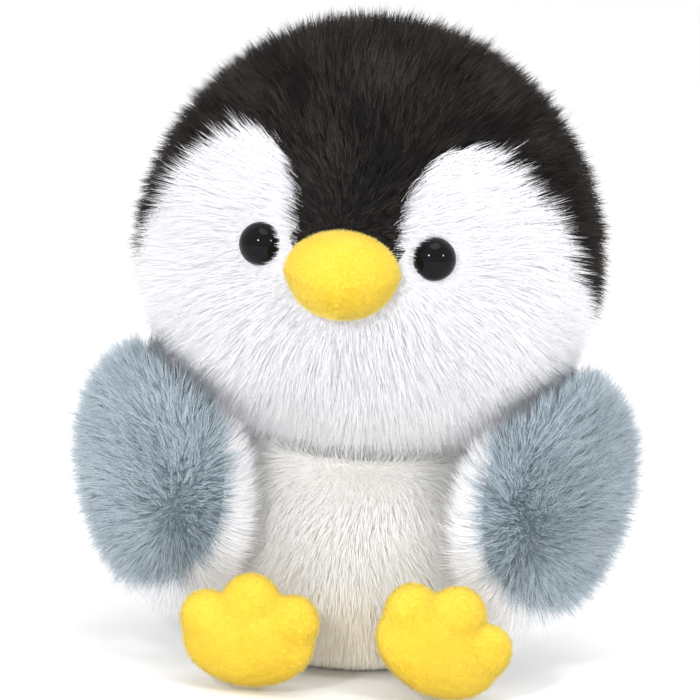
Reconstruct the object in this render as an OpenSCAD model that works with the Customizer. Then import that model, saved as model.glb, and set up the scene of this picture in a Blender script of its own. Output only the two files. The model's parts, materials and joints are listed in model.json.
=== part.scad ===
// Sitting plush penguin, in millimetres. It faces -Y, +Z is up, and the origin is the
// centre of its flat seat. Left and right are the penguin's own, so its left is +X.
// Each fur panel is a closed shell: the backing cloth with its dense pile. The loose
// ends of the long pile stand proud of it and are not modelled here.

/* [Head] */
// Width of the head over the pile
head_w = 138; // [130:1:146]
// Depth of the head over the pile
head_d = 133; // [128:1:138]
// Height of the widest level of the head above the seat
head_z = 120; // [118:0.5:124]
// Rise of the crown above the widest level
crown_h = 73; // [66:1:80]
// Drop of the chin below the widest level
chin_h = 55; // [52:0.5:56]
// Cloth and dense pile of the head panels
head_pile = 6; // [4:0.5:8]
// How far the head looks to the penguin's right when nothing pushes it
head_look = 7; // [0:1:10]

/* [Face] */
// Distance from the middle of the face to each eye
eye_x = 27; // [22:0.5:32]
// Height of the eyes above the seat
eye_z = 132; // [128:0.5:138]
// Diameter of the domed eye
eye_d = 12.6; // [10:0.2:15]
// Width of the beak
beak_w = 35; // [28:1:40]
// Height of the beak
beak_h = 27; // [20:1:32]
// Height of the middle of the beak above the seat
beak_z = 125.5; // [122:0.5:130]
// How far the beak stands out of the face
beak_out = 11; // [8:0.5:14]

/* [Body] */
// Width and depth of the round body over the pile
body_w = 80; // [72:1:84]
// Height of the widest level of the body above the seat
body_z = 30; // [24:1:36]
// Cloth and dense pile of the body and wing panels
body_pile = 5; // [3:0.5:6]
// Gap between the head and the hollow in the top of the body, which the pile fills
neck_gap = 7; // [6.5:0.5:9]
// Thickness of the flat base panel
base_t = 3; // [2:0.5:4]

/* [Wings] */
// Length of a wing, top to tip
wing_l = 84; // [76:1:86]
// Width of a wing, front edge to rear edge
wing_w = 70; // [60:1:72]
// Thickness of a stuffed wing
wing_t = 38; // [30:1:40]
// Distance of the shoulder seam from the middle plane
shoulder_x = 56; // [55:0.5:60]
// Height of the shoulder seam above the seat
shoulder_z = 92; // [86:0.5:93]
// How far a wing turns from facing forward to facing sideways
wing_turn = 50; // [46:1:56]

/* [Feet] */
// Distance of the middle of a foot from the middle plane
foot_x = 27.5; // [26:0.5:29]
// Width of a foot across its sole
foot_w = 42; // [36:1:44]
// Thickness of a stuffed foot
foot_t = 16; // [12:1:17]
// How far the left foot leans outward
foot_roll = 25; // [0:1:30]
// Cloth and short pile of the feet and the beak
short_pile = 1.5; // [1:0.25:2]

/* [Hidden] */
// Clearance between soft pieces that move past each other
gap = 0.4;
// Clearance between pieces that are sewn together
sewn = 0.02;
huge = 400;

// Head
head_rx = head_w / 2;
head_ry = head_d / 2;
// Half width of the dark strip that runs from the beak over the crown to the nape
strip_rx = 15;
strip_tip_rx = 14;
// Top of the white cheeks beside the strip, and where the cheek line starts to run back
cheek_top_z = head_z + 44;
cheek_side_z = head_z + 4;
cheek_side_x = 64;
cheek_back_y = -22;

// Radius of the face where the beak lies on it
face_bow_r = 80;
// How far the middle of the beak's oval lies behind the front of the face
beak_sunk = 3;

// Eyes
eye_dome_h = 5.6;
eye_stem_d = 4;
eye_stem_l = 11;
washer_d = 13;
washer_t = 1.4;

// Body
body_r = body_w / 2;
body_rim_r = body_r - 6;
body_low_h = 40;
arc_steps = 16;
pouch_rx = 24;
pouch_h = 9;
pouch_z = 15;
pouch_t = 1;
pellet_d = 5;
pellet_pitch = 5.6;
neck_r = 20;
neck_top = head_z - chin_h - 1.6;

// Wings: seen from the shoulder seam, +X is outward, +Y is to the rear
shoulder_y = -18;
wing_lean = 9;
wing_out = 1;
wing_drop = 36.5;
// Radius and height of the ball that stands for the cheeks where they press on the wings
cheek_ball_r = 76.5;
cheek_ball_z = head_z + 8;
// Turn towards the front of the upright seam plane through the middle of a wing
seam_turn = 8;
tab_l = 26;
tab_t = 2;
tab_out = -16.5;
tab_in = -27;
tab_top_z = -21;
tab_low_z = -29;

// Feet, and the short legs behind them
foot_y = -55;
foot_turn = 8;
sole_z = 7;
sole_rz = 15;
heel_z = foot_t / 2 + gap;
leg_x = 24;
leg_r = 8.6;
leg_z = leg_r + gap;
leg_front_y = foot_y + foot_t / 2 + 1.2;
leg_pile = 2.5;

// Smoothness of round shapes
$fn = 96;

// ---------- shapes that repeat ----------

// An egg: two half ellipsoids that share their widest level, which is at z = 0
module egg(rx, ry, up, low) {
    intersection() {
        scale([rx, ry, up]) sphere(r = 1);
        translate([-huge / 2, -huge / 2, 0]) cube(huge);
    }
    intersection() {
        scale([rx, ry, low]) sphere(r = 1);
        translate([-huge / 2, -huge / 2, -huge]) cube(huge);
    }
}

// The outer shape of the head, grown by the given amount
module head_form(grow = 0) {
    translate([0, 0, head_z])
        egg(head_rx + grow, head_ry + grow, crown_h + grow, chin_h + grow);
}

// Points on a stretch of an ellipse round [0, z], from one angle to another
function bow(rx, rz, z, from, to) = [
    for (i = [0:arc_steps])
        let (a = from + (to - from) * i / arc_steps)
        [rx * cos(a), z + rz * sin(a)]
];

// Turns the head and what it carries the way that the head looks
module looking() {
    rotate([0, 0, -head_look]) children();
}

// Half of the body's upright section: its side, then the hollow that the head sits in,
// all shrunk by the given amount and cut off at the given floor
function body_section(shrink, floor_z) =
    let (
        r = body_r - shrink,
        low = body_low_h - shrink,
        rim_r = body_rim_r - shrink,
        cup_r = head_rx + neck_gap + shrink,
        cup_h = chin_h + neck_gap + shrink,
        rim_z = head_z - cup_h * sqrt(1 - pow(rim_r / cup_r, 2)),
        rise = (rim_z - body_z) / sqrt(1 - pow(rim_r / r, 2))
    )
    concat(
        [[0, floor_z]],
        bow(r, low, body_z, asin((floor_z - body_z) / low), 0),
        bow(r, rise, body_z, 0.5, acos(rim_r / r)),
        bow(cup_r, cup_h, head_z, -acos(rim_r / cup_r) - 0.5, -90)
    );

// The half of space on the given side of the plane through the origin
module half(axis, side) {
    shift = side > 0 ? 0 : -huge;
    translate([axis == 0 ? shift : -huge / 2, axis == 1 ? shift : -huge / 2,
               axis == 2 ? shift : -huge / 2])
        cube(huge);
}

// Depth of the front of the head at a given place
function face_y(x, z) =
    let (c = z > head_z ? crown_h : chin_h)
    -head_ry * sqrt(1 - pow(x / head_rx, 2) - pow((z - head_z) / c, 2));

// Puts its children on the face with +Z along the outward normal
module on_face(x, z) {
    y = face_y(x, z);
    c = z > head_z ? crown_h : chin_h;
    n = [x / pow(head_rx, 2), y / pow(head_ry, 2), (z - head_z) / pow(c, 2)];
    translate([x, y, z])
        rotate([0, acos(n.z / norm(n)), atan2(n.y, n.x)])
            children();
}

// ---------- head ----------

module head_shell() {
    difference() {
        head_form(0);
        head_form(-head_pile);
    }
}

// Everything in front of the white cheeks' edge, on the given side
module cheek_region(side) {
    front_line = [
        [0, 0], [0, beak_z], [strip_tip_rx, beak_z + 2], [strip_rx, head_z + 27],
        [18.5, head_z + 37], [24, head_z + 42.5], [32, cheek_top_z], [40, head_z + 40.5],
        [49, head_z + 32], [56, head_z + 22.5], [61, head_z + 12.5],
        [cheek_side_x, cheek_side_z], [huge / 2, cheek_side_z], [huge / 2, 0]
    ];
    side_line = [
        [-huge / 2, 0], [-huge / 2, huge / 2], [cheek_back_y, huge / 2],
        [cheek_back_y, cheek_side_z], [-7, head_z - 7], [7, head_z - 12],
        [32, head_z - 26], [50, head_z - 44], [56, 0]
    ];
    intersection() {
        rotate([90, 0, 0])
            linear_extrude(height = huge, center = true)
                scale([side, 1]) polygon(front_line);
        rotate([90, 0, 90])
            linear_extrude(height = huge, center = true)
                polygon(side_line);
    }
}

// The strip over the middle of the head
module strip_region() {
    translate([-strip_rx, -huge / 2, 0]) cube([2 * strip_rx, huge, huge]);
}

module crown_gusset() {
    color("#2c2725")
        difference() {
            intersection() {
                head_shell();
                strip_region();
            }
            cheek_region(1);
            cheek_region(-1);
        }
}

module head_back_panel(side) {
    color("#332d2b")
        difference() {
            intersection() {
                head_shell();
                half(0, side);
            }
            strip_region();
            cheek_region(side);
        }
}

module face_panel(side) {
    color("#f2f2f4")
        difference() {
            intersection() {
                head_shell();
                cheek_region(side);
            }
            on_face(side * eye_x, eye_z)
                translate([0, 0, -2 * head_pile])
                    cylinder(d = eye_d + gap, h = 4 * head_pile);
        }
}

module head_stuffing() {
    color("#e9e6df")
        difference() {
            head_form(-head_pile - sewn);
            for (side = [-1, 1])
                on_face(side * eye_x, eye_z)
                    translate([0, 0, -head_pile - eye_stem_l - gap])
                        cylinder(d = washer_d + gap, h = 2 * eye_stem_l);
        }
}

module eye(side) {
    color("#0c0c0e")
        on_face(side * eye_x, eye_z)
            translate([0, 0, -head_pile + 1]) {
                intersection() {
                    scale([1, 1, 2 * eye_dome_h / eye_d]) sphere(d = eye_d);
                    half(2, 1);
                }
                translate([0, 0, -eye_stem_l])
                    cylinder(d = eye_stem_d, h = eye_stem_l + 1);
            }
}

module eye_washer(side) {
    color("#dcdcd6")
        on_face(side * eye_x, eye_z)
            translate([0, 0, -head_pile - washer_t - 1])
                difference() {
                    cylinder(d = washer_d, h = washer_t);
                    translate([0, 0, -1]) cylinder(d = eye_stem_d + gap, h = washer_t + 2);
                }
}

// The beak's oval pad, shrunk by the given amount, cut to lie on the face
module beak_form(shrink = 0) {
    difference() {
        translate([0, -head_ry + beak_sunk, beak_z])
            scale([beak_w / 2 - shrink, beak_out + beak_sunk - shrink, beak_h / 2 - shrink])
                sphere(r = 1);
        translate([0, face_bow_r - head_ry - gap / 4, head_z]) sphere(r = face_bow_r);
    }
}

module beak_cover() {
    color("#fbd732")
        difference() {
            beak_form(0);
            beak_form(short_pile);
        }
}

module beak_stuffing() {
    color("#e9e6df") beak_form(short_pile + sewn);
}

// ---------- neck and body ----------

// The stuffed neck, flat on top, that lies in the hollow of the body
module neck_pad() {
    cup_r = head_rx + neck_gap - gap;
    cup_h = chin_h + neck_gap - gap;
    color("#f2f2f4")
        rotate_extrude()
            polygon(concat(
                [[0, neck_top], [neck_r, neck_top]],
                bow(cup_r, cup_h, head_z, -acos(neck_r / cup_r), -90)
            ));
}

// The wall of the body, in front of or behind its side seams
module body_wall(face) {
    intersection() {
        rotate_extrude()
            difference() {
                polygon(body_section(0, base_t));
                polygon(body_section(body_pile, base_t - 1));
            }
        half(1, face);
    }
}

module body_belly_panel() {
    color("#f4efe6") body_wall(-1);
}

module body_back_panel() {
    color("#8c9aa4") body_wall(1);
}

module body_base_panel() {
    color("#f4efe6")
        rotate_extrude()
            intersection() {
                polygon(body_section(0, 0));
                square([body_r, base_t - sewn]);
            }
}

module pouch_form(shrink = 0) {
    translate([0, 0, pouch_z])
        scale([pouch_rx - shrink, pouch_rx - shrink, pouch_h - shrink]) sphere(r = 1);
}

module body_stuffing() {
    color("#e9e6df")
        difference() {
            rotate_extrude() polygon(body_section(body_pile + sewn, base_t));
            pouch_form(-sewn);
        }
}

module pellet_pouch() {
    color("#cfcabf")
        difference() {
            pouch_form(0);
            pouch_form(pouch_t);
        }
}

module pellets() {
    color("#b9c4cc")
        for (i = [-3:3], j = [-3:3]) {
            x = pellet_pitch * (i + j / 2);
            y = pellet_pitch * j * sqrt(3) / 2;
            if (norm([x, y]) < pouch_rx - pellet_pitch)
                translate([x, y, pouch_z]) sphere(d = pellet_d, $fn = 24);
        }
}

// ---------- wings ----------

// Puts its children at a shoulder, with +X pointing outward from the wing's face
module at_shoulder(side) {
    mirror([side < 0 ? 1 : 0, 0, 0])
        translate([shoulder_x, shoulder_y, shoulder_z])
            rotate([0, 0, wing_turn - 90])
                children();
}

module in_wing() {
    translate([wing_out, 0, -wing_drop]) rotate([0, wing_lean, 0]) children();
}

// A wing's pad, shrunk by the given amount, pressed in by the body and by the cheek
module wing_form(side, shrink = 0) {
    difference() {
        at_shoulder(side)
            in_wing()
                scale([wing_t / 2 - shrink, wing_w / 2 - shrink, wing_l / 2 - shrink])
                    sphere(r = 1);
        translate([0, 0, -huge / 2]) cylinder(r = body_r + gap + shrink, h = huge);
        translate([0, 0, cheek_ball_z]) sphere(r = cheek_ball_r + shrink);
    }
}

// The pale inner panel wraps round the front edge, so the seam plane is turned
module wing_panel(side, face) {
    difference() {
        wing_form(side, 0);
        wing_form(side, body_pile);
        at_shoulder(side)
            in_wing()
                rotate([0, 0, seam_turn])
                    half(0, -face);
    }
}

module wing_outer_panel(side) {
    color("#8c9aa4") wing_panel(side, 1);
}

module wing_inner_panel(side) {
    color("#f2f2f4") wing_panel(side, -1);
}

module wing_stuffing(side) {
    color("#e9e6df") wing_form(side, body_pile + sewn);
}

// The doubled cloth that joins the shoulder seam to the top of the body
module shoulder_tab(side) {
    color("#8c9aa4")
        difference() {
            at_shoulder(side)
                rotate([90, 0, 0])
                    linear_extrude(height = tab_l, center = true)
                        polygon([
                            [tab_out, tab_top_z - tab_t], [tab_out, tab_top_z],
                            [tab_in, tab_low_z], [tab_in, tab_low_z - tab_t]
                        ]);
            rotate_extrude() polygon(body_section(-sewn, 0));
        }
}

// ---------- legs ----------

// The round pad between the body's wall and the back of a foot
module leg_form(side, shrink = 0) {
    difference() {
        translate([side * leg_x, leg_front_y, leg_z])
            rotate([-90, 0, 0]) cylinder(r = leg_r - shrink, h = -leg_front_y);
        rotate_extrude() polygon(body_section(-sewn, 0));
    }
}

module leg_cover(side) {
    color("#f4efe6")
        difference() {
            leg_form(side);
            leg_form(side, leg_pile);
        }
}

module leg_stuffing(side) {
    color("#e9e6df") leg_form(side, leg_pile + sewn);
}

// ---------- feet ----------

// Puts its children at a heel; the left foot also leans outward about the middle of its
// sole, and is lifted by as much as its lower edge would sink
module at_heel(side) {
    roll = side > 0 ? foot_roll : 0;
    lift = norm([foot_w / 2 * sin(roll), sole_rz * cos(roll)]) - sole_rz;
    mirror([side < 0 ? 1 : 0, 0, 0])
        translate([foot_x, foot_y, heel_z])
            rotate([0, 0, foot_turn])
                translate([0, 0, sole_z + lift])
                    rotate([0, roll, 0])
                        translate([0, 0, -sole_z])
                            children();
}

// The sole of the foot with its three toes; +X points away from the other foot
module foot_form(shrink = 0) {
    toe_places = [[0, 17.5, 10.5], [-12.5, 13.5, 9.5], [12.5, 12.5, 9.5]];
    translate([0, 0, sole_z])
        scale([foot_w / 2 - shrink, foot_t / 2 - shrink, sole_rz - shrink]) sphere(r = 1);
    for (toe = toe_places)
        translate([toe.x, 0, toe.y])
            scale([toe.z - shrink, foot_t / 2 - 0.8 - shrink, toe.z + 0.5 - shrink])
                sphere(r = 1);
}

module foot_panel(side, face) {
    at_heel(side)
        difference() {
            foot_form(0);
            foot_form(short_pile);
            half(1, -face);
        }
}

module foot_sole_panel(side) {
    color("#fcdc38") foot_panel(side, -1);
}

module foot_top_panel(side) {
    color("#f7d02c") foot_panel(side, 1);
}

module foot_stuffing(side) {
    color("#e9e6df") at_heel(side) foot_form(short_pile + sewn);
}

body_belly_panel();
body_back_panel();
body_base_panel();
body_stuffing();
pellet_pouch();
pellets();
shoulder_tab(1);  // shoulder_tab_left
shoulder_tab(-1);  // shoulder_tab_right
neck_pad();
looking() crown_gusset();
looking() head_back_panel(1);  // head_back_left_panel
looking() head_back_panel(-1);  // head_back_right_panel
looking() face_panel(1);  // face_left_panel
looking() face_panel(-1);  // face_right_panel
looking() head_stuffing();
looking() eye(1);  // eye_left
looking() eye(-1);  // eye_right
looking() eye_washer(1);  // eye_washer_left
looking() eye_washer(-1);  // eye_washer_right
looking() beak_cover();
looking() beak_stuffing();
wing_outer_panel(1);  // wing_left_outer_panel
wing_inner_panel(1);  // wing_left_inner_panel
wing_stuffing(1);  // wing_left_stuffing
wing_outer_panel(-1);  // wing_right_outer_panel
wing_inner_panel(-1);  // wing_right_inner_panel
wing_stuffing(-1);  // wing_right_stuffing
leg_cover(1);  // leg_left_cover
leg_stuffing(1);  // leg_left_stuffing
leg_cover(-1);  // leg_right_cover
leg_stuffing(-1);  // leg_right_stuffing
foot_top_panel(1);  // foot_left_top_panel
foot_sole_panel(1);  // foot_left_sole_panel
foot_stuffing(1);  // foot_left_stuffing
foot_top_panel(-1);  // foot_right_top_panel
foot_sole_panel(-1);  // foot_right_sole_panel
foot_stuffing(-1);  // foot_right_stuffing
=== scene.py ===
"""Sitting plush penguin: stuffed forms, pile, eyes, floor, lights and camera round the CAD frame.

Lengths here are in millimetres, and mesh() turns them into the scene's metres.
"Left" is the toy's own left.
"""

import json
import math

import bmesh
import bpy
import numpy as np
from mathutils import Matrix, Vector
from mathutils.kdtree import KDTree


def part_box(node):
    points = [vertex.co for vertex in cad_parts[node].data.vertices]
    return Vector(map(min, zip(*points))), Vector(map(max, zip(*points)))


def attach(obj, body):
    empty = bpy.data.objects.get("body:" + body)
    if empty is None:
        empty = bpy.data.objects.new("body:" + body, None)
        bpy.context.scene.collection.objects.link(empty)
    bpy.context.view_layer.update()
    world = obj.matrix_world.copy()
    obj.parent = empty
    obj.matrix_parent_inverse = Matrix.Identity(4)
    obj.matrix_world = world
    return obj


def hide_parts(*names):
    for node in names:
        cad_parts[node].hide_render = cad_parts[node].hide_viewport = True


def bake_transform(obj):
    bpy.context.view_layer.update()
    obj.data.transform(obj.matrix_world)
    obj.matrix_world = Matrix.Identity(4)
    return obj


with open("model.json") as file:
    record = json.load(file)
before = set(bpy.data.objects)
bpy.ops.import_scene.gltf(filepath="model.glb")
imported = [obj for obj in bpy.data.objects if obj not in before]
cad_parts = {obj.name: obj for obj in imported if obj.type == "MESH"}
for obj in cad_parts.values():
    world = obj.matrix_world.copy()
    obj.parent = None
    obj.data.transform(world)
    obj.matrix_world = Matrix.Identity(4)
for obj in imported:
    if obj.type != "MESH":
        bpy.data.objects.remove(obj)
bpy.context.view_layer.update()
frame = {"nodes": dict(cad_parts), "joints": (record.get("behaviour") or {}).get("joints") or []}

MM = 0.001
SIDES = ((1, "left"), (-1, "right"))  # the sign of X on each side
THIN = 1.0

# ---------------------------------------------------------------- the frame


def node_box(*nodes):
    """Lowest and highest corners of some CAD nodes together."""
    boxes = [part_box(node) for node in nodes]
    low = np.min([np.array(low) for low, _ in boxes], axis=0) / MM
    high = np.max([np.array(high) for _, high in boxes], axis=0) / MM
    return low, high


HEAD_NODES = [
    "crown_gusset",
    "head_back_left_panel",
    "head_back_right_panel",
    "face_left_panel",
    "face_right_panel",
]
head_low, head_high = node_box(*HEAD_NODES)
body_low, body_high = node_box("body_belly_panel", "body_back_panel", "body_base_panel")
BEAK_HALF = np.array([17.5, 14.0, 13.5])  # half the width, the depth and half the height, over the pile
BEAK_SUNK = 3.0  # the middle of the beak lies this far behind the front of the face
BEAK_Z = 125.5  # height of its middle
JOINTS = {joint["name"]: joint for joint in frame["joints"]}


def joint_place(name):
    return np.array(JOINTS[name]["pos_m"], float) / MM


HEAD_RX, HEAD_RY = (head_high - head_low)[:2] / 2
HEAD_WIDEST = 0.4297  # height of the widest level, as a share of the head's height
CHIN_H = HEAD_WIDEST * (head_high - head_low)[2]
CROWN_H = (head_high - head_low)[2] - CHIN_H
HEAD_Z = head_low[2] + CHIN_H
HEAD_CENTRE = np.array([0, 0, HEAD_Z])
BODY_R = (body_high - body_low)[0] / 2
NOSE = np.array([0, -HEAD_RY, BEAK_Z])

HEAD_LOOK = math.radians(-7)  # turn of the head about Z when nothing pushes it
LONG_DEPTH = 4.0  # the cloth under long pile lies this far inside the CAD panels' outer face
SWELL = 1.4  # room that a form has to swell in
FLOOR_CLEAR = 0.2  # no fibre reaches lower than this

# ---------------------------------------------------------------- small helpers


def unit(v):
    """Vectors made one long."""
    return v / np.maximum(np.linalg.norm(v, axis=-1, keepdims=True), 1e-9)


def looking(v):
    """Places or directions on the head, turned the way that it looks."""
    c, s = math.cos(HEAD_LOOK), math.sin(HEAD_LOOK)
    return v @ np.array([[c, s, 0], [-s, c, 0], [0, 0, 1]])


def inside(outline, x, y):
    """Which of the points (x, y) lie inside a closed outline."""
    odd = np.zeros(len(x), bool)
    for (x0, y0), (x1, y1) in zip(outline, outline[1:] + outline[:1]):
        if y0 == y1:
            continue
        crosses = (y0 > y) != (y1 > y)
        odd ^= crosses & (x < x0 + (y - y0) * (x1 - x0) / (y1 - y0))
    return odd


def ripple(points, pitch, seed):
    """Smooth noise from about -1 to 1 with bumps about one pitch apart."""
    rng = np.random.default_rng(seed)
    total = np.zeros(len(points))
    for _ in range(6):
        wave = unit(rng.normal(size=3)) * math.tau / (pitch * rng.uniform(0.7, 1.6))
        total += np.sin(points @ wave + rng.uniform(0, math.tau))
    return total * 0.3


# ---------------------------------------------------------------- skins: (points, triangles)


def icosphere(level):
    """A ball of radius 1, whose points are also the directions from its centre."""
    bm = bmesh.new()
    bmesh.ops.create_icosphere(bm, subdivisions=level, radius=1)
    points = np.array([v.co for v in bm.verts])
    triangles = np.array([[v.index for v in face.verts] for face in bm.faces])
    bm.free()
    return points, triangles


def lathe(profile, around=96):
    """A skin turned about the Z axis from (radius, height) pairs that start and end on it."""
    angle = np.arange(around) * math.tau / around
    circle = np.stack([np.cos(angle), np.sin(angle), np.zeros(around)], 1)
    rings = [circle * r + [0, 0, z] for r, z in profile[1:-1]]
    points = np.concatenate([*rings, [[0, 0, profile[0][1]]], [[0, 0, profile[-1][1]]]])
    first, last = len(points) - 2, len(points) - 1
    triangles = []
    for i in range(around):
        j = (i + 1) % around
        triangles.append((first, j, i))
        for k in range(len(rings) - 1):
            low, high = k * around, (k + 1) * around
            triangles += [(low + i, low + j, high + j), (low + i, high + j, high + i)]
        top = (len(rings) - 1) * around
        triangles.append((last, top + i, top + j))
    return points, np.array(triangles)


def normals_of(skin):
    """Outward normals at a skin's points."""
    points, triangles = skin
    a, b, c = (points[triangles[:, i]] for i in range(3))
    face = np.cross(b - a, c - a)
    out = np.zeros_like(points)
    for i in range(3):
        np.add.at(out, triangles[:, i], face)
    return unit(out)


def mirrored(skin):
    """A skin of the left side, made into the right side's."""
    points, triangles = skin
    return points * [-1, 1, 1], triangles[:, ::-1]


def smoothed(skin, values, passes):
    """Values at a skin's points, averaged with their neighbours' a few times."""
    points, triangles = skin
    edges = np.concatenate([triangles[:, [0, 1]], triangles[:, [1, 2]], triangles[:, [2, 0]]])
    edges = np.concatenate([edges, edges[:, ::-1]])
    count = np.bincount(edges[:, 0], minlength=len(points))[:, None]
    for _ in range(passes):
        total = np.zeros_like(values)
        np.add.at(total, edges[:, 0], values[edges[:, 1]])
        values = (values + total / count) / 2
    return values


def seam_points(skin, panel):
    """The points where triangles of two panels meet, from each point's panel."""
    points, triangles = skin
    own = panel[triangles]
    mixed = (own != own[:, :1]).any(axis=1)
    held = np.zeros(len(points), bool)
    held[triangles[mixed].ravel()] = True
    return held


def mesh(name, points, triangles, materials, material_index=None, normals=None):
    """A mesh object in the scene, from points in millimetres."""
    data = bpy.data.meshes.new(name)
    data.vertices.add(len(points))
    data.vertices.foreach_set("co", (points * MM).astype(np.float32).ravel())
    data.loops.add(triangles.size)
    data.loops.foreach_set("vertex_index", triangles.astype(np.int32).ravel())
    data.polygons.add(len(triangles))
    data.polygons.foreach_set("loop_start", np.arange(0, triangles.size, 3, dtype=np.int32))
    for material in materials:
        data.materials.append(material)
    if material_index is not None:
        data.polygons.foreach_set("material_index", material_index.astype(np.int32))
    data.polygons.foreach_set("use_smooth", np.ones(len(triangles), bool))
    data.update(calc_edges=True)
    if normals is not None:
        data.normals_split_custom_set_from_vertices(normals.astype(np.float32))
    piece = bpy.data.objects.new(name, data)
    bpy.context.collection.objects.link(piece)
    return piece


# ---------------------------------------------------------------- cloth simulation

SIM_SCALE = 10  # the cloth is simulated at ten times its size, where the solver is steady
SIM_FRAMES = 20
PRESSURE = 4.0


def swell(skin, held, cap):
    """The skin stuffed full by a cloth simulation with its seams held. No point moves past the cap."""
    points, triangles = skin
    form = mesh("swelling", points * SIM_SCALE, triangles, [])
    seams = form.vertex_groups.new(name="seams")
    seams.add(np.flatnonzero(held).tolist(), 1.0, "REPLACE")
    cloth = form.modifiers.new("cloth", "CLOTH")
    cloth.settings.vertex_group_mass = "seams"
    cloth.settings.use_pressure = True
    cloth.settings.uniform_pressure_force = PRESSURE
    cloth.settings.effector_weights.gravity = 0
    cloth.point_cache.frame_end = SIM_FRAMES
    for number in range(1, SIM_FRAMES + 1):
        bpy.context.scene.frame_set(number)
    swelled = form.evaluated_get(bpy.context.evaluated_depsgraph_get())
    ends = np.empty(points.size, np.float32)
    swelled.data.vertices.foreach_get("co", ends)
    move = ends.reshape(-1, 3) / MM / SIM_SCALE - points
    bpy.data.objects.remove(form)
    bpy.context.scene.frame_set(1)
    far = np.linalg.norm(move, axis=1, keepdims=True)
    print("swelled", len(points), "points by up to", round(float(far.max()), 2), "mm, capped at", cap)
    move *= np.minimum(1, cap / np.maximum(far, 1e-9))
    return points + smoothed(skin, move, 1), triangles


# ---------------------------------------------------------------- materials


def shader_of(name, colour, rough, sheen=0.0):
    """A new material and its Principled shader."""
    material = bpy.data.materials.new(name)
    material.use_nodes = True
    shader = material.node_tree.nodes["Principled BSDF"]
    shader.inputs["Base Color"].default_value = (*colour, 1)
    shader.inputs["Roughness"].default_value = rough
    shader.inputs["Sheen Weight"].default_value = sheen
    return material, shader


def fibre(name, colour, rough, sheen, painted_glow, gloss):
    """One shade of fibre. The strands themselves make the pile's pattern."""
    material, shader = shader_of(name, colour, rough, sheen)
    shader.inputs["Specular IOR Level"].default_value = gloss
    # Painted light: the fibre glows in its own colour at the glow strength.
    shader.inputs["Emission Color"].default_value = (*colour, 1)
    shader.inputs["Emission Strength"].default_value = painted_glow
    return material


def shades(name, roots, tips, rough=0.6, sheen=0.25, painted_glow=0.0, gloss=0.3):
    """Fibre materials for a coat, in pairs of root and tip.

    glow is painted light: the fibres emit their own colour, which stands in for the light that a clear
    fibre lets through from behind and that bounces between fibres.
    """
    out = []
    for i, (root, tip) in enumerate(zip(roots, tips)):
        out.append(fibre(f"{name}_root_{i}", root, rough, sheen, painted_glow, gloss))
        out.append(fibre(f"{name}_tip_{i}", tip, rough, sheen, painted_glow, gloss))
    return out


def patterned(name, dark, light, pitch, rough, bump, patch=8.0):
    """Cloth or moulded plastic: fine grain over soft patches, in the colour, the gloss and the bump."""
    material, shader = shader_of(name, light, rough)
    nodes = material.node_tree.nodes
    link = material.node_tree.links.new
    place = nodes.new("ShaderNodeTexCoord")
    grain = nodes.new("ShaderNodeTexNoise")
    grain.inputs["Scale"].default_value = 1 / (pitch * MM)
    grain.inputs["Detail"].default_value = 3
    patches = nodes.new("ShaderNodeTexNoise")
    patches.inputs["Scale"].default_value = 1 / (patch * MM)
    both = nodes.new("ShaderNodeMath")
    both.operation = "MULTIPLY_ADD"
    both.inputs[1].default_value = 0.6
    half = nodes.new("ShaderNodeMath")
    half.operation = "MULTIPLY"
    half.inputs[1].default_value = 0.4
    ramp = nodes.new("ShaderNodeValToRGB")
    ramp.color_ramp.elements[0].position = 0.35
    ramp.color_ramp.elements[0].color = (*dark, 1)
    ramp.color_ramp.elements[1].position = 0.6
    ramp.color_ramp.elements[1].color = (*light, 1)
    gloss = nodes.new("ShaderNodeMapRange")
    gloss.inputs["To Min"].default_value = rough * 0.85
    gloss.inputs["To Max"].default_value = min(1, rough * 1.15)
    lift = nodes.new("ShaderNodeBump")
    lift.inputs["Strength"].default_value = bump
    lift.inputs["Distance"].default_value = pitch * MM * 0.5
    link(place.outputs["Object"], grain.inputs["Vector"])
    link(place.outputs["Object"], patches.inputs["Vector"])
    link(patches.outputs["Fac"], half.inputs[0])
    link(grain.outputs["Fac"], both.inputs[0])
    link(half.outputs[0], both.inputs[2])
    link(both.outputs[0], ramp.inputs["Fac"])
    link(ramp.outputs["Color"], shader.inputs["Base Color"])
    link(both.outputs[0], gloss.inputs["Value"])
    link(gloss.outputs["Result"], shader.inputs["Roughness"])
    link(grain.outputs["Fac"], lift.inputs["Height"])
    link(lift.outputs["Normal"], shader.inputs["Normal"])
    return material


# The glow of each coat below is painted light: emission that lifts the shade deep in its pile.
WHITE = shades(
    "white_fibre",
    [(0.88, 0.88, 0.93), (0.90, 0.90, 0.95), (0.92, 0.92, 0.96)],
    [(0.93, 0.93, 0.97), (0.94, 0.94, 0.98), (0.95, 0.95, 0.98)],
    painted_glow=0.09,
)
# A lit copy of the white fibres: the same white with a stronger painted glow, which lifts the shade on
# the wings' white pile.
WING_WHITE_LIT = shades(
    "wing_white_lit_fibre",
    [(0.88, 0.88, 0.91), (0.90, 0.90, 0.93), (0.92, 0.92, 0.94)],
    [(0.93, 0.93, 0.96), (0.94, 0.94, 0.97), (0.95, 0.95, 0.97)],
    painted_glow=0.22,
)
CREAM = shades(
    "cream_fibre",
    [(0.88, 0.86, 0.82), (0.90, 0.89, 0.86), (0.92, 0.91, 0.89)],
    [(0.94, 0.93, 0.91), (0.95, 0.94, 0.92), (0.96, 0.95, 0.94)],
    painted_glow=0.12,
)
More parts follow.
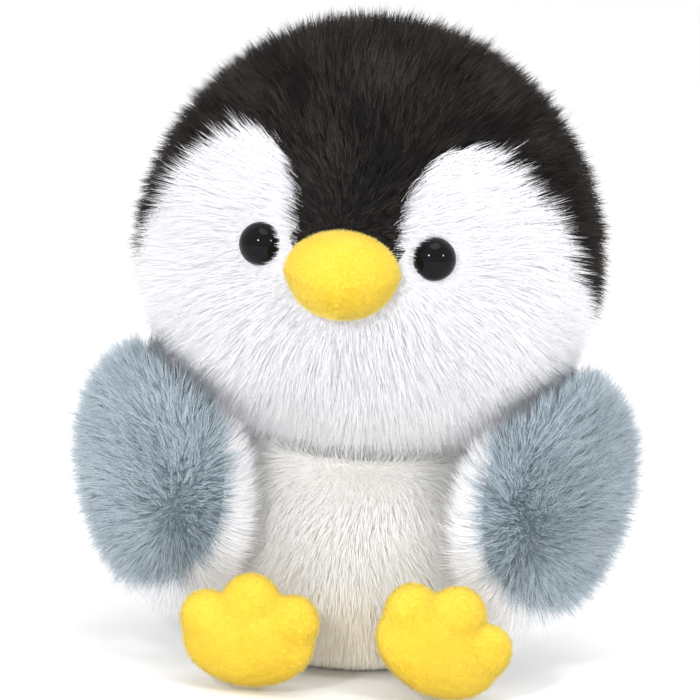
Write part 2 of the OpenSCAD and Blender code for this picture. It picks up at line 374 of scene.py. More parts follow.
# Painted bounce light: cream fibres tinted with the yellow light that the feet throw back, for the pile
# next to the feet.
FOOT_BOUNCE = shades(
    "foot_bounce_fibre",
    [(0.90, 0.81, 0.66), (0.91, 0.83, 0.69), (0.92, 0.85, 0.72)],
    [(0.94, 0.87, 0.74), (0.95, 0.89, 0.78), (0.96, 0.91, 0.81)],
    painted_glow=0.12,
)
BLACK = shades(
    "black_fibre",
    [(0.003, 0.003, 0.003), (0.005, 0.004, 0.004), (0.009, 0.007, 0.006)],
    [(0.006, 0.005, 0.004), (0.014, 0.011, 0.010), (0.045, 0.036, 0.032)],
    rough=0.5,
    sheen=0.0,
    gloss=0.12,
)
GREY = shades(
    "grey_fibre",
    [(0.22, 0.28, 0.32), (0.27, 0.34, 0.39), (0.31, 0.38, 0.43)],
    [(0.34, 0.42, 0.48), (0.41, 0.49, 0.55), (0.49, 0.57, 0.63)],
    painted_glow=0.08,
)
YELLOW = shades(
    "yellow_fibre",
    [(0.92, 0.62, 0.04), (0.93, 0.65, 0.05), (0.94, 0.67, 0.06)],
    [(0.94, 0.67, 0.06), (0.95, 0.71, 0.08), (0.96, 0.75, 0.11)],
    painted_glow=0.03,
)
WHITE_CLOTH = patterned("white_cloth", (0.82, 0.82, 0.85), (0.92, 0.92, 0.94), 0.5, 0.8, 0.5)
CREAM_CLOTH = patterned("cream_cloth", (0.80, 0.77, 0.72), (0.90, 0.89, 0.86), 0.5, 0.8, 0.5)
BLACK_CLOTH = patterned("black_cloth", (0.004, 0.004, 0.004), (0.012, 0.010, 0.009), 0.5, 0.8, 0.5)
GREY_CLOTH = patterned("grey_cloth", (0.17, 0.22, 0.26), (0.30, 0.37, 0.42), 0.5, 0.8, 0.5)
YELLOW_CLOTH = patterned("yellow_cloth", (0.92, 0.62, 0.03), (0.97, 0.74, 0.06), 0.35, 0.75, 0.6)
LINING = patterned("woven_lining", (0.42, 0.39, 0.34), (0.66, 0.62, 0.55), 0.6, 0.85, 0.7)
BEADS = patterned("bead_plastic", (0.40, 0.46, 0.50), (0.52, 0.58, 0.62), 2.0, 0.35, 0.1)
MOULDED = patterned("moulded_plastic", (0.62, 0.62, 0.60), (0.74, 0.74, 0.72), 1.5, 0.4, 0.1)

# ---------------------------------------------------------------- pile


def scatter(skin, density, seed):
    """Evenly random points on a skin, with its normals there."""
    points, triangles = skin
    rng = np.random.default_rng(seed)
    a, b, c = (points[triangles[:, i]] for i in range(3))
    area = np.linalg.norm(np.cross(b - a, c - a), axis=1) / 2
    count = int(area.sum() * density * THIN)
    steps = (np.arange(count) + rng.uniform(size=count)) / count * area.sum()
    chosen = np.minimum(np.searchsorted(np.cumsum(area), steps), len(area) - 1)
    u, v = rng.uniform(size=(2, count))
    flip = u + v > 1
    u, v = np.where(flip, 1 - u, u), np.where(flip, 1 - v, v)
    weights = np.stack([1 - u - v, u, v], 1)[:, :, None]
    normals = normals_of(skin)
    at = (points[triangles[chosen]] * weights).sum(1)
    return at, unit((normals[triangles[chosen]] * weights).sum(1))


def tufts_of(points, spacing, seed):
    """The nearest tuft centre of each point, as an index into the points."""
    rng = np.random.default_rng(seed)
    count = max(1, int(len(points) / spacing))
    centres = rng.choice(len(points), count, replace=False)
    tree = KDTree(count)
    for i, centre in enumerate(centres):
        tree.insert(points[centre], i)
    tree.balance()
    nearest = np.array([tree.find(p)[1] for p in points])
    return centres, nearest


# One fibre: three points round its root, three round its middle, and its tip
FIBRE_POINTS = 7
FIBRE_TRIANGLES = [[0, 2, 1]]
for k in range(3):
    n = (k + 1) % 3
    FIBRE_TRIANGLES += [[k, n, 3 + n], [k, 3 + n, 3 + k], [3 + k, 3 + n, 6]]
FIBRE_TRIANGLES.sort(key=lambda triangle: 6 in triangle)
FIBRE_TRIANGLES = np.array(FIBRE_TRIANGLES)
FIBRE_IS_TIP = (FIBRE_TRIANGLES == 6).any(axis=1)
MAX_FIBRES = 19500  # in one piece

FIBRE_LEAN_SPREAD = 0.10  # how much the fibres of one tuft differ in lean and in turn, in radians
FIBRE_TURN_SPREAD = 0.12
SWIRL_PITCH, SWIRL_TURN = 30, 0.4  # slow swirls over the whole coat
GUARD_LENGTH = (0.9, 1.15)  # of long guard hairs, as shares of the coat's length
UNDER_LENGTH = (0.6, 0.9)  # of the other fibres
TUFT_LENGTH = (0.88, 1.1)
LOWER_BEND, UPPER_BEND = 0.55, 1.4  # how far each half of a fibre leans, as shares of its lean
MIDDLE_GATHER = 0.35  # how much of a tip's pull towards its tuft's centre the middle gets
TUFT_CORE = 0.1  # how much of its place in the tuft a gathered tip keeps
TAPER = 0.75  # thickness at a fibre's middle, as a share of its root's
TONE_PITCH, TONE_PATCH = 16, 0.7  # patches of darker and lighter fibres


def grow(name, at, normal, flow, coat, seed, short=1.0, lay=1.0):
    """A mesh of tapered three-sided fibres, bent along the flow and gathered into tufts.

    short scales each fibre's length, and lay how far it leans over.
    """
    rng = np.random.default_rng(seed)
    count = len(at)
    centres, tuft = tufts_of(at, coat["per_tuft"] * THIN, seed + 1)
    tufts = len(centres)
    lean = coat["lean"] + rng.normal(0, coat["ruffle"], tufts)[tuft]
    lean = (lean + rng.normal(0, FIBRE_LEAN_SPREAD, count)) * lay
    turn = rng.normal(0, coat["swirl"], tufts)[tuft] + SWIRL_TURN * ripple(at, SWIRL_PITCH, seed + 2)
    turn += rng.normal(0, FIBRE_TURN_SPREAD, count)
    flow = unit(flow - normal * (flow * normal).sum(1, keepdims=True))
    side = np.cross(normal, flow)
    flow = flow * np.cos(turn)[:, None] + side * np.sin(turn)[:, None]
    guard = rng.uniform(size=count) < coat["guard"]
    length = np.where(guard, rng.uniform(*GUARD_LENGTH, count), rng.uniform(*UNDER_LENGTH, count))
    length *= coat["length"] * rng.uniform(*TUFT_LENGTH, tufts)[tuft] * short
    half = length[:, None] / 2

    def heading(angle):
        return normal * np.cos(angle)[:, None] + flow * np.sin(angle)[:, None]

    root = at - normal * coat["rooted"]
    middle = root + heading(lean * LOWER_BEND) * half
    tip = middle + unit(heading(lean * UPPER_BEND) + [0, 0, -coat["droop"]]) * half
    own = centres[tuft]
    tip += (tip[own] - tip) * coat["gather"] + (at - at[own]) * TUFT_CORE
    middle += (middle[own] - middle) * coat["gather"] * MIDDLE_GATHER

    width = coat["width"] * rng.uniform(0.75, 1.25, count)
    across = unit(np.cross(tip - root, normal + rng.normal(0, 0.05, (count, 3))))
    other = unit(np.cross(tip - root, across))
    points = np.empty((count, FIBRE_POINTS, 3))
    turned = np.empty((count, FIBRE_POINTS, 3))
    for k in range(3):
        angle = math.tau * k / 3
        out = across * math.cos(angle) + other * math.sin(angle)
        points[:, k] = root + out * width[:, None]
        points[:, 3 + k] = middle + out * width[:, None] * TAPER
        turned[:, k] = turned[:, 3 + k] = unit(out * coat["round"] + normal)
    points[:, 6] = tip
    turned[:, 6] = normal
    points[:, :, 2] = np.maximum(points[:, :, 2], FLOOR_CLEAR)
    triangles = (FIBRE_TRIANGLES[None] + FIBRE_POINTS * np.arange(count)[:, None, None]).reshape(-1, 3)
    kinds = len(coat["shades"]) // 2
    tone = 1 + rng.normal(0, 0.4, tufts)[tuft] + rng.normal(0, 0.6, count)
    tone += TONE_PATCH * ripple(at, TONE_PITCH, seed + 3)
    tone = np.clip(np.round(tone), 0, kinds - 1).astype(int)
    index = (tone[:, None] * 2 + FIBRE_IS_TIP[None]).reshape(-1)
    return mesh(name, points.reshape(-1, 3), triangles, coat["shades"], index, turned.reshape(-1, 3))


def grow_panel(node, body, slot, at, normal, flow, coat, seed, short=1.0, lay=1.0):
    """The pile of one CAD panel, in level sections that hold at most MAX_FIBRES each."""
    short, lay = short * np.ones(len(at)), lay * np.ones(len(at))
    sections = math.ceil(len(at) / MAX_FIBRES)
    order = np.argsort(at[:, 2])
    for i, mine in enumerate(np.array_split(order, sections)):
        name = f"{node}_pile_{i + 1}" if sections > 1 else f"{node}_pile"
        pile = grow(name, at[mine], normal[mine], flow[mine], coat, seed + 5 * i, short[mine], lay[mine])
        finish(pile, body, slot, node)


def finish(piece, body, slot, *nodes):
    """The piece rides its body and stands for CAD nodes."""
    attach(piece, body)
    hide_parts(*nodes)
    return piece


def stuffed(name, body, slot, skin, cloths, panel, *nodes, fill=0.85):
    """The stuffed cloth form under a pile, with one cloth for each panel."""
    points, triangles = skin
    index = np.asarray(panel)[triangles].max(axis=1)
    piece = mesh(name, points, triangles, cloths, index)
    finish(piece, body, slot, *nodes)
    return piece


LONG = dict(
    length=10.5,
    lean=0.5,  # in radians from the skin's normal
    ruffle=0.12,  # how much tufts differ in lean, and next in turn
    swirl=0.16,
    droop=0.12,  # how far tips sag under their weight
    gather=0.25,  # how close a tuft's tips come together
    guard=0.35,  # share of long guard hairs
    width=0.09,  # radius of a fibre at its root
    per_tuft=8,
    round=0.35,  # how round a fibre is shaded
    rooted=0.6,  # depth of its root in the cloth
)
SOFT = dict(LONG, ruffle=0.07, swirl=0.10, gather=0.08)
HEAD_WHITE = dict(SOFT, shades=WHITE)
HEAD_BLACK = dict(LONG, shades=BLACK)
WING_GREY = dict(LONG, shades=GREY, lean=0.6)
WING_WHITE = dict(SOFT, shades=WING_WHITE_LIT, lean=0.6)
BELLY = dict(SOFT, shades=CREAM, length=9.0, lean=0.65)
# The belly's pile near the feet, with painted yellow bounce light from the feet.
BELLY_FOOT_BOUNCE = dict(BELLY, shades=FOOT_BOUNCE)
BACK = dict(LONG, shades=GREY, length=9.0, lean=0.65)
# The legs' pile carries the same painted yellow bounce light from the feet.
LEG = dict(LONG, shades=FOOT_BOUNCE, length=4.0, lean=0.7)
BRUSHED = dict(
    LONG,
    shades=YELLOW,
    length=1.6,
    lean=0.5,
    ruffle=0.06,
    droop=0.0,
    gather=0.15,
    width=0.07,
    per_tuft=10,
    rooted=0.15,
)
LONG_DENSITY = 4.0  # fibres in a square millimetre
BRUSHED_DENSITY = 10.0

# ---------------------------------------------------------------- head

STRIP_RX = 15.0  # half width of the dark strip over the middle of the head
STRIP_TIP_RX = 14.0  # and at the beak
FRONT_LINE = [  # edge of a white face panel, seen from the front, and on past the head
    (0, 0), (0, BEAK_Z), (STRIP_TIP_RX, BEAK_Z + 2), (STRIP_RX, HEAD_Z + 27), (18.5, HEAD_Z + 37),
    (24, HEAD_Z + 42.5), (32, HEAD_Z + 44), (40, HEAD_Z + 40.5), (49, HEAD_Z + 32),
    (56, HEAD_Z + 22.5), (61, HEAD_Z + 12.5), (64, HEAD_Z + 4), (200, HEAD_Z + 4), (200, 0),
]
SIDE_LINE = [  # the same panel's edge, seen from the side
    (-200, 0), (-200, 300), (-22, 300), (-22, HEAD_Z + 4), (-7, HEAD_Z - 7),
    (7, HEAD_Z - 12), (32, HEAD_Z - 26), (50, HEAD_Z - 44), (56, 0),
]


def head_panel(p):
    """Which panel each point of the head is on, by its place in HEAD_NODES."""
    cheek = inside(FRONT_LINE, np.abs(p[:, 0]), p[:, 2]) & inside(SIDE_LINE, p[:, 1], p[:, 2])
    left = p[:, 0] > 0
    crown = np.where(np.abs(p[:, 0]) < STRIP_RX, 0, np.where(left, 1, 2))
    return np.where(cheek, np.where(left, 3, 4), crown)


EDGE_RAGGED = 0.7  # the edge between two colours of pile wanders by about this much,
EDGE_PITCH = 5  # with bumps about this far apart
SEAM_BRUSHED = 2.8  # the pile is brushed this far up and back over the head's seams


def feathered(points, size, seed):
    """Small sideways shifts, both wandering and random, that make the edge of a colour ragged."""
    rng = np.random.default_rng(seed)
    shift = rng.normal(0, size, points.shape)
    for axis in range(3):
        shift[:, axis] += size * ripple(points, EDGE_PITCH, seed + axis)
    return shift


EYE_X = 27.0
EYE_Z = HEAD_Z + 12
EYE_R = 6.3
EYE_BORDER = 7.0  # the pile grows to its full length over this distance from an eye
CHIN_LONGER = 0.25  # share by which the pile is longer under the chin
EYE_SUNK = 5.0  # the dome's foot lies this far under the pile
EYE_DOME_H = 5.6


def face_point(x, z):
    """A place on the front of the head over the pile, and the outward normal there."""
    h = CROWN_H if z > HEAD_Z else CHIN_H
    y = -HEAD_RY * math.sqrt(1 - (x / HEAD_RX) ** 2 - ((z - HEAD_Z) / h) ** 2)
    n = np.array([x / HEAD_RX**2, y / HEAD_RY**2, (z - HEAD_Z) / h**2])
    return np.array([x, y, z]), unit(n)


def eye_distance(p):
    """Distance from the nearer eye's axis."""
    nearest = np.full(len(p), 1e9)
    for x in (-EYE_X, EYE_X):
        at, n = face_point(x, EYE_Z)
        off = p - at
        off = off - n * (off @ n)[:, None]
        nearest = np.minimum(nearest, np.where(p[:, 1] < 0, np.linalg.norm(off, axis=1), 1e9))
    return nearest


def beak_distance(p):
    """Below 1 under the beak."""
    d = np.hypot(p[:, 0] / BEAK_HALF[0], (p[:, 2] - BEAK_Z) / BEAK_HALF[2])
    return np.where(p[:, 1] < 0, d, 9)


def flow_from_nose(points):
    """The way that the head's pile runs: outward from a little above the nose."""
    return points - NOSE - [0, 0, 8]


def brushed(points, normals):
    """About where the pile that is rooted at each point comes out on top."""
    shift = unit(flow_from_nose(points)) * [0, SEAM_BRUSHED, SEAM_BRUSHED]
    return points + normals * LONG_DEPTH + shift


def make_head():
    dirs, triangles = icosphere(5)
    rise = np.where(dirs[:, 2] > 0, CROWN_H, CHIN_H)
    half = np.stack([np.full(len(dirs), HEAD_RX), np.full(len(dirs), HEAD_RY), rise], 1)
    skin = (dirs * (half - LONG_DEPTH - SWELL) + HEAD_CENTRE, triangles)
    panel = head_panel(brushed(skin[0] + dirs * SWELL, dirs))
    skin = swell(skin, seam_points(skin, panel), SWELL)
    form = (looking(skin[0]), triangles)
    cloths = [WHITE_CLOTH] * 2 + [BLACK_CLOTH] * 3
    last = len(HEAD_NODES) - 1
    stuffed("head_form", "head", "filling", form, cloths, last - panel, "head_stuffing")
    at, normal = scatter(skin, LONG_DENSITY, 11)
    keep = (eye_distance(at) > EYE_R) & (beak_distance(at) > 0.88)
    at, normal = at[keep], normal[keep]
    flow = flow_from_nose(at)
    panel = head_panel(brushed(at, normal) + feathered(at, EDGE_RAGGED, 12))
    short = 0.4 + 0.6 * np.clip((eye_distance(at) - EYE_R) / EYE_BORDER, 0, 1)
    short *= 0.55 + 0.45 * np.clip((beak_distance(at) - 0.9) / 0.4, 0, 1)
    short *= 1 + CHIN_LONGER * np.clip((HEAD_Z - 25 - at[:, 2]) / 20, 0, 1)
    for i, node in enumerate(HEAD_NODES):
        coat, slot = (HEAD_WHITE, "white_pile") if i > 2 else (HEAD_BLACK, "black_pile")
        mine = panel == i
        pile = (looking(at[mine]), looking(normal[mine]), looking(flow[mine]))
        grow_panel(node, "head", slot, *pile, coat, 100 + 40 * i, short[mine])


# ---------------------------------------------------------------- eyes


def make_eyes():
    black, shader = shader_of("eye_gloss", (0.003, 0.003, 0.004), 0.05)
    shader.inputs["Specular IOR Level"].default_value = 0.15
    for side, label in SIDES:
        at, n = face_point(side * EYE_X, EYE_Z)
        dirs, triangles = icosphere(5)
        turn = np.array(Vector((0, 0, 1)).rotation_difference(Vector(n)).to_matrix())
        dome = dirs * [EYE_R, EYE_R, EYE_DOME_H]
        dome[:, 2] = np.maximum(dome[:, 2], -0.4)
        placed = dome @ turn.T + at - n * EYE_SUNK
        eye = mesh(f"eye_{label}_dome", looking(placed), triangles, [black])
        finish(eye, "head", "eye_plastic", f"eye_{label}")
        for slot in frame["nodes"][f"eye_washer_{label}"].material_slots:
            slot.material = MOULDED


# ---------------------------------------------------------------- beak

BRUSHED_DEPTH = 0.9  # the cloth under short pile lies this far inside
BEAK_SWELL = 0.6
BEAK_NARROW = 0.07  # how much of its width the beak loses half-way down


def make_beak():
    dirs, triangles = icosphere(5)
    low_share = np.clip(-dirs[:, 2], 0, 1)
    narrow = 1 - BEAK_NARROW * (1 - (2 * low_share - 1) ** 2)
    points = dirs * (BEAK_HALF - BRUSHED_DEPTH - BEAK_SWELL)
    points[:, 0] *= narrow
    points += [0, BEAK_SUNK - HEAD_RY, BEAK_Z]
    on_face = np.array([face_point(x, z)[0][1] for x, _, z in points]) + LONG_DEPTH - 1
    behind = points[:, 1] > on_face
    points[:, 1] = np.minimum(points[:, 1], on_face)
    skin = swell((points, triangles), behind, BEAK_SWELL)
    panel = np.zeros(len(points), int)
    form = (looking(skin[0]), triangles)
    stuffed("beak_form", "head", "yellow_pile", form, [YELLOW_CLOTH], panel, "beak_stuffing")
    at, normal = scatter(skin, BRUSHED_DENSITY, 51)
    front = normal[:, 1] < 0.3
    at, normal = at[front], normal[front]
    pile = (looking(at), looking(normal), looking(at - NOSE + [0, 0, 3]))
    grow_panel("beak_cover", "head", "yellow_pile", *pile, BRUSHED, 520)


# ---------------------------------------------------------------- body, neck and legs

BODY_Z = 30.0  # height of the widest level
RIM_R = 32.0  # radius of the rim round the hollow that the head sits in
CUP_GAP = 4.5  # distance of the cloth of that hollow from the head
BOUNCE_TOP = 26.0  # the belly's pile has painted yellow bounce light from the feet up to about this height, give or take this much
BOUNCE_RAGGED = 4.0  # give or take this much


def bow(rx, rz, z, start, stop, steps=16):
    """Points on a stretch of an ellipse round (0, z), from one angle to another in degrees."""
    a = np.radians(np.linspace(start, stop, steps + 1))
    return np.stack([rx * np.cos(a), z + rz * np.sin(a)], 1)


def make_body():
    r = BODY_R - LONG_DEPTH - SWELL
    rim_r = RIM_R - SWELL
    floor_z = 0.6
    cup_r, cup_h = HEAD_RX + CUP_GAP, CHIN_H + CUP_GAP
    rim_z = HEAD_Z - cup_h * math.sqrt(1 - (rim_r / cup_r) ** 2)
    rise = (rim_z - BODY_Z) / math.sqrt(1 - (rim_r / r) ** 2)
    foot_angle = math.degrees(math.asin((floor_z - BODY_Z) / BODY_R))
    rim_angle = math.degrees(math.acos(rim_r / cup_r))
    low = bow(r, BODY_R, BODY_Z, foot_angle, 0)
    base = [(low[0][0] * share, floor_z) for share in (0, 0.25, 0.5, 0.75, 0.9)]
    high = bow(r, rise, BODY_Z, 3, math.degrees(math.acos(rim_r / r)))
    cup = bow(cup_r, cup_h, HEAD_Z, -rim_angle - 1, -90, 8)
    cup[-1][0] = 0
    skin = lathe([*base, *low, *high, *cup])
    points, triangles = skin
    is_base = points[:, 2] < floor_z + 0.1
    in_cup = (points[:, 2] > rim_z - 8) & (np.hypot(points[:, 0], points[:, 1]) < rim_r - 0.5)
    panel = np.where(points[:, 1] < 0, 0, 1)
    held = seam_points(skin, panel) | is_base | in_cup
    skin = swell(skin, held, SWELL)
    nodes = ("body_stuffing", "body_base_panel")
    stuffed("body_form", "torso", "filling", skin, [CREAM_CLOTH, GREY_CLOTH], panel, *nodes)
    at, normal = scatter(skin, LONG_DENSITY, 21)
    radius = np.hypot(at[:, 0], at[:, 1])
    wall = (at[:, 2] > 1.5) & ~((radius < 24) & (at[:, 2] > BODY_Z))
    at, normal = at[wall], normal[wall]
    flow = np.tile([0.0, 0.0, -1.0], (len(at), 1))
    flow[:, :2] += at[:, :2] * 0.005
    short = np.clip(at[:, 2] / 10, 0.3, 1) * np.clip((radius[wall] - 18) / 10, 0.3, 1)
    lay = np.clip((rim_z - 3 - at[:, 2]) / 12, 0.05, 1)
    front = at[:, 1] < 0
    # low marks the front pile near the feet, which gets the painted yellow bounce light.
    low = front & (at[:, 2] + feathered(at, BOUNCE_RAGGED, 23)[:, 2] < BOUNCE_TOP)
    pile = (at[low], normal[low], flow[low], BELLY_FOOT_BOUNCE, 330, short[low], lay[low])
    finish(grow("body_belly_bounce_pile", *pile), "torso", "cream_pile", "body_belly_panel")
    for node, mine, coat, slot, seed in (
        ("body_belly_panel", front & ~low, BELLY, "cream_pile", 300),
        ("body_back_panel", ~front, BACK, "grey_pile", 340),
    ):
        pile = (at[mine], normal[mine], flow[mine], coat, seed, short[mine], lay[mine])
        grow_panel(node, "torso", slot, *pile)
    for node, material in (("pellet_pouch", LINING), ("pellets", BEADS)):
        for slot in frame["nodes"][node].material_slots:
            slot.material = material


def make_neck():
    low, high = node_box("neck_pad")
    r = high[0]
    height = high[2] - low[2]
    crowned = bow(r - 1, height * 0.5, low[2] + height * 0.45, -90, 90, 18)
    crowned[0][0] = crowned[-1][0] = 0
    skin = lathe(list(crowned), 48)
    panel = np.zeros(len(skin[0]), int)
    stuffed("neck_form", "neck", "white_pile", skin, [WHITE_CLOTH], panel, "neck_pad")


def make_leg(side, label):
    low, high = node_box(f"leg_{label}_cover")
    half = np.array([(high - low)[0] / 2, (high - low)[1] * 0.55, (high - low)[2] / 2])
    centre = np.array([(low + high)[0] / 2, low[1] + half[1], (low + high)[2] / 2])
    dirs, triangles = icosphere(4)
    rounded = np.sign(dirs) * np.abs(dirs) ** 0.85
    skin = (rounded * (half - 2) + centre, triangles)
    panel = np.zeros(len(dirs), int)
    filling = f"leg_{label}_stuffing"
    stuffed(f"leg_{label}_form", "torso", "cream_pile", skin, [CREAM_CLOTH], panel, filling)
    at, normal = scatter(skin, LONG_DENSITY * 1.2, 71 + side)
    flow = np.tile([0.0, -0.3, -1.0], (len(at), 1))
    grow_panel(f"leg_{label}_cover", "torso", "cream_pile", at, normal, flow, LEG, 700 + side)


# ---------------------------------------------------------------- wings

WING_HALF = np.array([19.0, 35.0, 42.0])  # half the thickness, width and length over the pile
WING_LEAN = math.radians(9)
WING_OUT = 1.0  # the wing's centre from its shoulder seam, outward and downward
WING_DROP = 36.5
CHEEK_BALL_Z = HEAD_Z + 8  # the ball that stands for the cheeks where they press on the wings
CHEEK_BALL_R = 76.5
CHEEK_DEPTH = 1.0  # the wing's cloth stays this far out of that ball
GAP = 0.4  # between the body's pile and the wing's
SEAM_TURN = math.radians(8)
SEAM_HIDE = 3.0  # the grey pile lies over the seam by this much at the wing's middle
SEAM_LEAN = 0.28  # and by this share more of the height above it
SEAM_CURL = 0.02  # the white pile curls up round the wing's lower end, more and more
SEAM_CURL_FROM = 12.0  # from this far below the middle
WHORL = np.array([17.0, -17.0, -12.0])  # the pile runs out from here
WHORL_R = 14.0  # and stands more upright within this distance


def shoulder_axes():
    """Outward, rearward and upward axes at the left shoulder, as rows."""
    rear = -np.array(JOINTS["wing_left_flap"]["axis"], float)
    return np.array([np.cross(rear, [0, 0, 1]), rear, [0, 0, 1]])


def wing_place():
    """The left wing's centre, and its own axes as rows."""
    out, rear, up = shoulder_axes()
    c, s = math.cos(WING_LEAN), math.sin(WING_LEAN)
    centre = joint_place("wing_left_flap") + out * WING_OUT - up * WING_DROP
    return centre, np.array([out * c - up * s, rear, up * c + out * s])


def pressed(points):
    """Points moved out of the body and the cheek, which press on the wing."""
    points = points.copy()
    wall = BODY_R + GAP + LONG_DEPTH
    around = np.hypot(points[:, 0], points[:, 1])[:, None]
    points[:, :2] *= np.maximum(1, wall / around)
    ball = np.array([0, 0, CHEEK_BALL_Z])
    away = points - ball
    distance = np.linalg.norm(away, axis=1, keepdims=True)
    return ball + away * np.maximum(1, (CHEEK_BALL_R + CHEEK_DEPTH) / distance)


def make_wings():
    centre, axes = wing_place()
    dirs, triangles = icosphere(5)
    bare = pressed((dirs * (WING_HALF - LONG_DEPTH - SWELL)) @ axes + centre)
    seam_normal = np.array([math.cos(SEAM_TURN), math.sin(SEAM_TURN), 0])

    def is_outer(points, normals):
        local = (points + normals * LONG_DEPTH - centre) @ axes.T
        curl = SEAM_CURL * np.maximum(0, -SEAM_CURL_FROM - local[:, 2]) ** 2
        return local @ seam_normal > curl - SEAM_HIDE - SEAM_LEAN * local[:, 2]

    panel = is_outer(bare, normals_of((bare, triangles))).astype(int)
    skin = swell((bare, triangles), seam_points((bare, triangles), panel), SWELL)
    skin = (pressed(skin[0]), triangles)
    at, normal = scatter(skin, LONG_DENSITY, 31)
    local = (at - centre) @ axes.T
    flow = (local - WHORL) @ axes
    lay = np.clip(np.linalg.norm(local - WHORL, axis=1) / WHORL_R, 0.25, 1)
    outer = is_outer(at + feathered(at, EDGE_RAGGED, 32), normal)
    for side, label in SIDES:
        body = f"wing_{label}"
        form = skin if side > 0 else mirrored(skin)
        cloths = [WHITE_CLOTH, GREY_CLOTH]
        stuffed(f"{body}_form", body, "filling", form, cloths, panel, f"{body}_stuffing")
        flip = [side, 1, 1]
        for face, coat, slot in (("outer", WING_GREY, "grey_pile"), ("inner", WING_WHITE, "white_pile")):
            mine = outer == (face == "outer")
            seed = 400 + 20 * side + len(slot)
            pile = (at[mine] * flip, normal[mine] * flip, flow[mine] * flip)
            grow_panel(f"{body}_{face}_panel", body, slot, *pile, coat, seed, 1.0, lay[mine])


def make_tab(side, label):
    """The doubled cloth between the body's rim and the wing."""
    ends = np.array([[-29.0, -30.5], [-14.5, -20.0]])  # outward and upward from the shoulder seam
    thick, wide, steps, around = 1.8, 24.0, 10, 24
    out, rear, up = shoulder_axes()
    rows = []
    for i in range(steps + 1):
        share = i / steps
        along = ends[0] * (1 - share) + ends[1] * share
        belly = 0.8 * math.sin(math.pi * share)
        ring = []
        for angle in np.arange(around) * math.tau / around:
            across = wide / 2 * math.copysign(abs(math.cos(angle)) ** 0.5, math.cos(angle))
            lift = thick / 2 * math.sin(angle) + belly
            ring.append(out * along[0] + up * (along[1] + lift) + rear * across)
        rows.append(ring)
    points = np.array(rows).reshape(-1, 3) + joint_place("wing_left_flap")
    caps = [points[:around].mean(0), points[-around:].mean(0)]
    points = np.concatenate([points, caps])
    first, last = len(points) - 2, len(points) - 1
    triangles = []
    for k in range(around):
        n = (k + 1) % around
        triangles += [(first, n, k), (last, steps * around + k, steps * around + n)]
        for i in range(steps):
            a, b = i * around, (i + 1) * around
            triangles += [(a + k, a + n, b + n), (a + k, b + n, b + k)]
    skin = (points, np.array(triangles))
    start, end = caps
    if side < 0:
        skin = mirrored(skin)
        start, end = start * [-1, 1, 1], end * [-1, 1, 1]
    piece = mesh(f"shoulder_{label}_cloth", *skin, [GREY_CLOTH])
    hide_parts(f"shoulder_tab_{label}")
    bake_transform(piece)


# ---------------------------------------------------------------- feet

FOOT_TURN = math.radians(8)
FOOT_ROLL = {"left": math.radians(25), "right": 0.0}  # how far each foot leans outward
FOOT_SWELL = 1.0
SOLE_Z = 7.0  # height of its middle above the heel's joint
SOLE_HALF = np.array([21.0, 8.0, 15.0])
TOES = [((0, 17.5), 10.5), ((-12.5, 13.5), 9.5), ((12.5, 12.5), 9.5)]  # place (x, z) and radius
TOE_THINNER = 0.8  # than the sole, on each face


def foot_skin(shrink):
    """The left foot in its own axes: the farthest of the sole and the toes in each direction."""
    dirs, triangles = icosphere(5)
    core = np.array([0, 0, 9.0])
    lobes = [(np.array([0, 0, SOLE_Z]), SOLE_HALF - shrink)]
    for (x, z), r in TOES:
        half = np.array([r, SOLE_HALF[1] - TOE_THINNER, r + 0.5])
        lobes.append((np.array([x, 0, z]), half - shrink))
    reach = np.zeros(len(dirs))
    for centre, half in lobes:
        start = (core - centre) / half
        step = dirs / half
        a = (step * step).sum(1)
        b = step @ start
        c = start @ start - 1
        under = b * b - a * c
        far = np.where(under > 0, (-b + np.sqrt(np.maximum(under, 0))) / a, 0)
        reach = np.maximum(reach, far)
    return dirs * reach[:, None] + core, triangles


def foot_place(roll):
    """Axes of a foot that leans outward by the roll, as rows, and the middle of its sole."""
    lift = math.hypot(SOLE_HALF[0] * math.sin(roll), SOLE_HALF[2] * math.cos(roll)) - SOLE_HALF[2]
    leaning = Matrix.Rotation(FOOT_TURN, 3, "Z") @ Matrix.Rotation(roll, 3, "Y")
    return np.array(leaning).T, joint_place("foot_left_flex") + [0, 0, SOLE_Z + lift]


def make_feet():
    points, triangles = foot_skin(BRUSHED_DEPTH + FOOT_SWELL)
    points = smoothed((points, triangles), points, 2)
    panel = np.where(points[:, 1] < 0, 0, 1)
    skin = (points, triangles)
    held = seam_points(skin, panel)
    skin = swell(skin, held, FOOT_SWELL)
    at, normal = scatter(skin, BRUSHED_DENSITY, 61)
    flow = at + [0, 0, 2]
    for side, label in SIDES:
        body = f"foot_{label}"
        axes, centre = foot_place(FOOT_ROLL[label])
        placed = ((skin[0] - [0, 0, SOLE_Z]) @ axes + centre, triangles)
        form = placed if side > 0 else mirrored(placed)
        cloths = [YELLOW_CLOTH, YELLOW_CLOTH]
        stuffed(f"{body}_form", body, "yellow_pile", form, cloths, panel, f"{body}_stuffing")
        flip = [side, 1, 1]
        rooted = (at - [0, 0, SOLE_Z]) @ axes + centre
        for face in ("sole", "top"):
            mine = (at[:, 1] < 0) == (face == "sole")
            seed = 600 + 20 * side + len(face)
            pile = (rooted[mine] * flip, normal[mine] @ axes * flip, flow[mine] @ axes * flip)
            grow_panel(f"{body}_{face}_panel", body, "yellow_pile", *pile, BRUSHED, seed)


# ---------------------------------------------------------------- stage


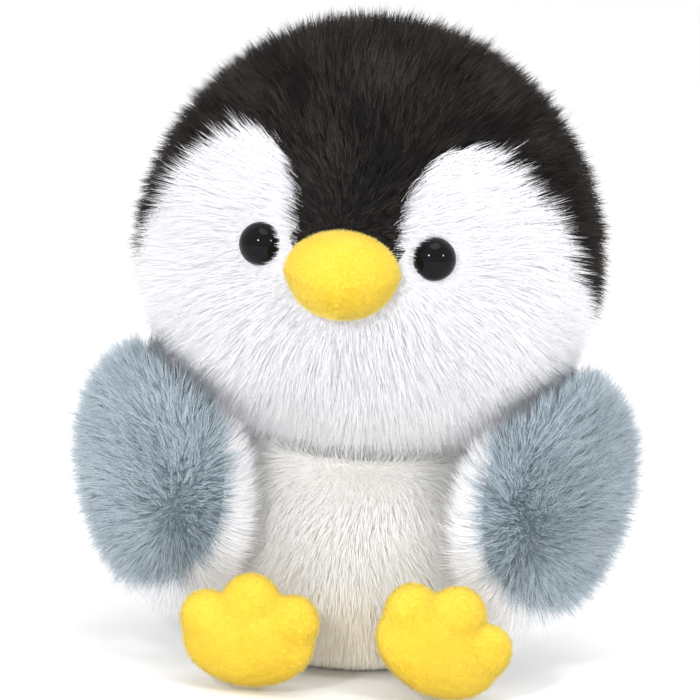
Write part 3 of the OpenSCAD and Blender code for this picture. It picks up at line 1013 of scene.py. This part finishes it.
def make_stage():
    bpy.ops.mesh.primitive_plane_add(size=12)
    floor = bpy.context.object
    floor.name = "floor"
    pale, _ = shader_of("floor_pale", (0.96, 0.96, 0.96), 0.9)
    floor.data.materials.append(pale)
    world = bpy.data.worlds.new("studio")
    bpy.context.scene.world = world
    world.use_nodes = True
    world.node_tree.nodes["Background"].inputs["Color"].default_value = (1, 1, 1, 1)
    world.node_tree.nodes["Background"].inputs["Strength"].default_value = 1.0


def place_round(azimuth, elevation, distance):
    """A place round the toy: azimuth 0 is in front of it, and positive on its left."""
    a, e = math.radians(azimuth), math.radians(elevation)
    return Vector((math.sin(a) * math.cos(e), -math.cos(a) * math.cos(e), math.sin(e))) * distance


LIGHT_AIM = Vector((0, 0, 100)) * MM


def softbox(name, azimuth, elevation, distance, size, power):
    """A round area light aimed at the toy. Distance and size are in metres, power in watts."""
    light = bpy.data.lights.new(name, "AREA")
    light.shape = "DISK"
    light.size = size
    light.energy = power
    lamp = bpy.data.objects.new(name, light)
    bpy.context.collection.objects.link(lamp)
    away = place_round(azimuth, elevation, distance)
    lamp.location = LIGHT_AIM + away
    lamp.rotation_euler = (-away).to_track_quat("-Z", "Y").to_euler()


CAMERA_AIM = Vector((-4, -0.5, 93.2)) * MM
CAMERA_HEIGHT = 10  # degrees above level
CAMERA_ROLL = math.radians(4)
CAMERA_AWAY = 1.2  # metres
VIEW_WIDTH = 0.21  # width of the picture at the toy, in metres


def make_camera():
    away = place_round(0, CAMERA_HEIGHT, CAMERA_AWAY)
    data = bpy.data.cameras.new("camera")
    data.sensor_width = 36
    data.lens = data.sensor_width * CAMERA_AWAY / VIEW_WIDTH
    camera = bpy.data.objects.new("camera", data)
    bpy.context.collection.objects.link(camera)
    camera.location = CAMERA_AIM + away
    facing = (-away).to_track_quat("-Z", "Y").to_matrix().to_4x4()
    camera.rotation_euler = (facing @ Matrix.Rotation(CAMERA_ROLL, 4, "Z")).to_euler()
    bpy.context.scene.camera = camera


make_camera()
make_stage()
softbox("key", -23, 24, 1.6, 0.16, 9)
softbox("fill", 50, 24, 1.6, 0.16, 5)
softbox("top", 10, 75, 1.4, 1.0, 6)
bpy.context.scene.view_settings.view_transform = "Standard"

make_head()
make_eyes()
make_beak()
make_neck()
make_body()
make_wings()
make_feet()
for side, label in SIDES:
    make_tab(side, label)
    make_leg(side, label)
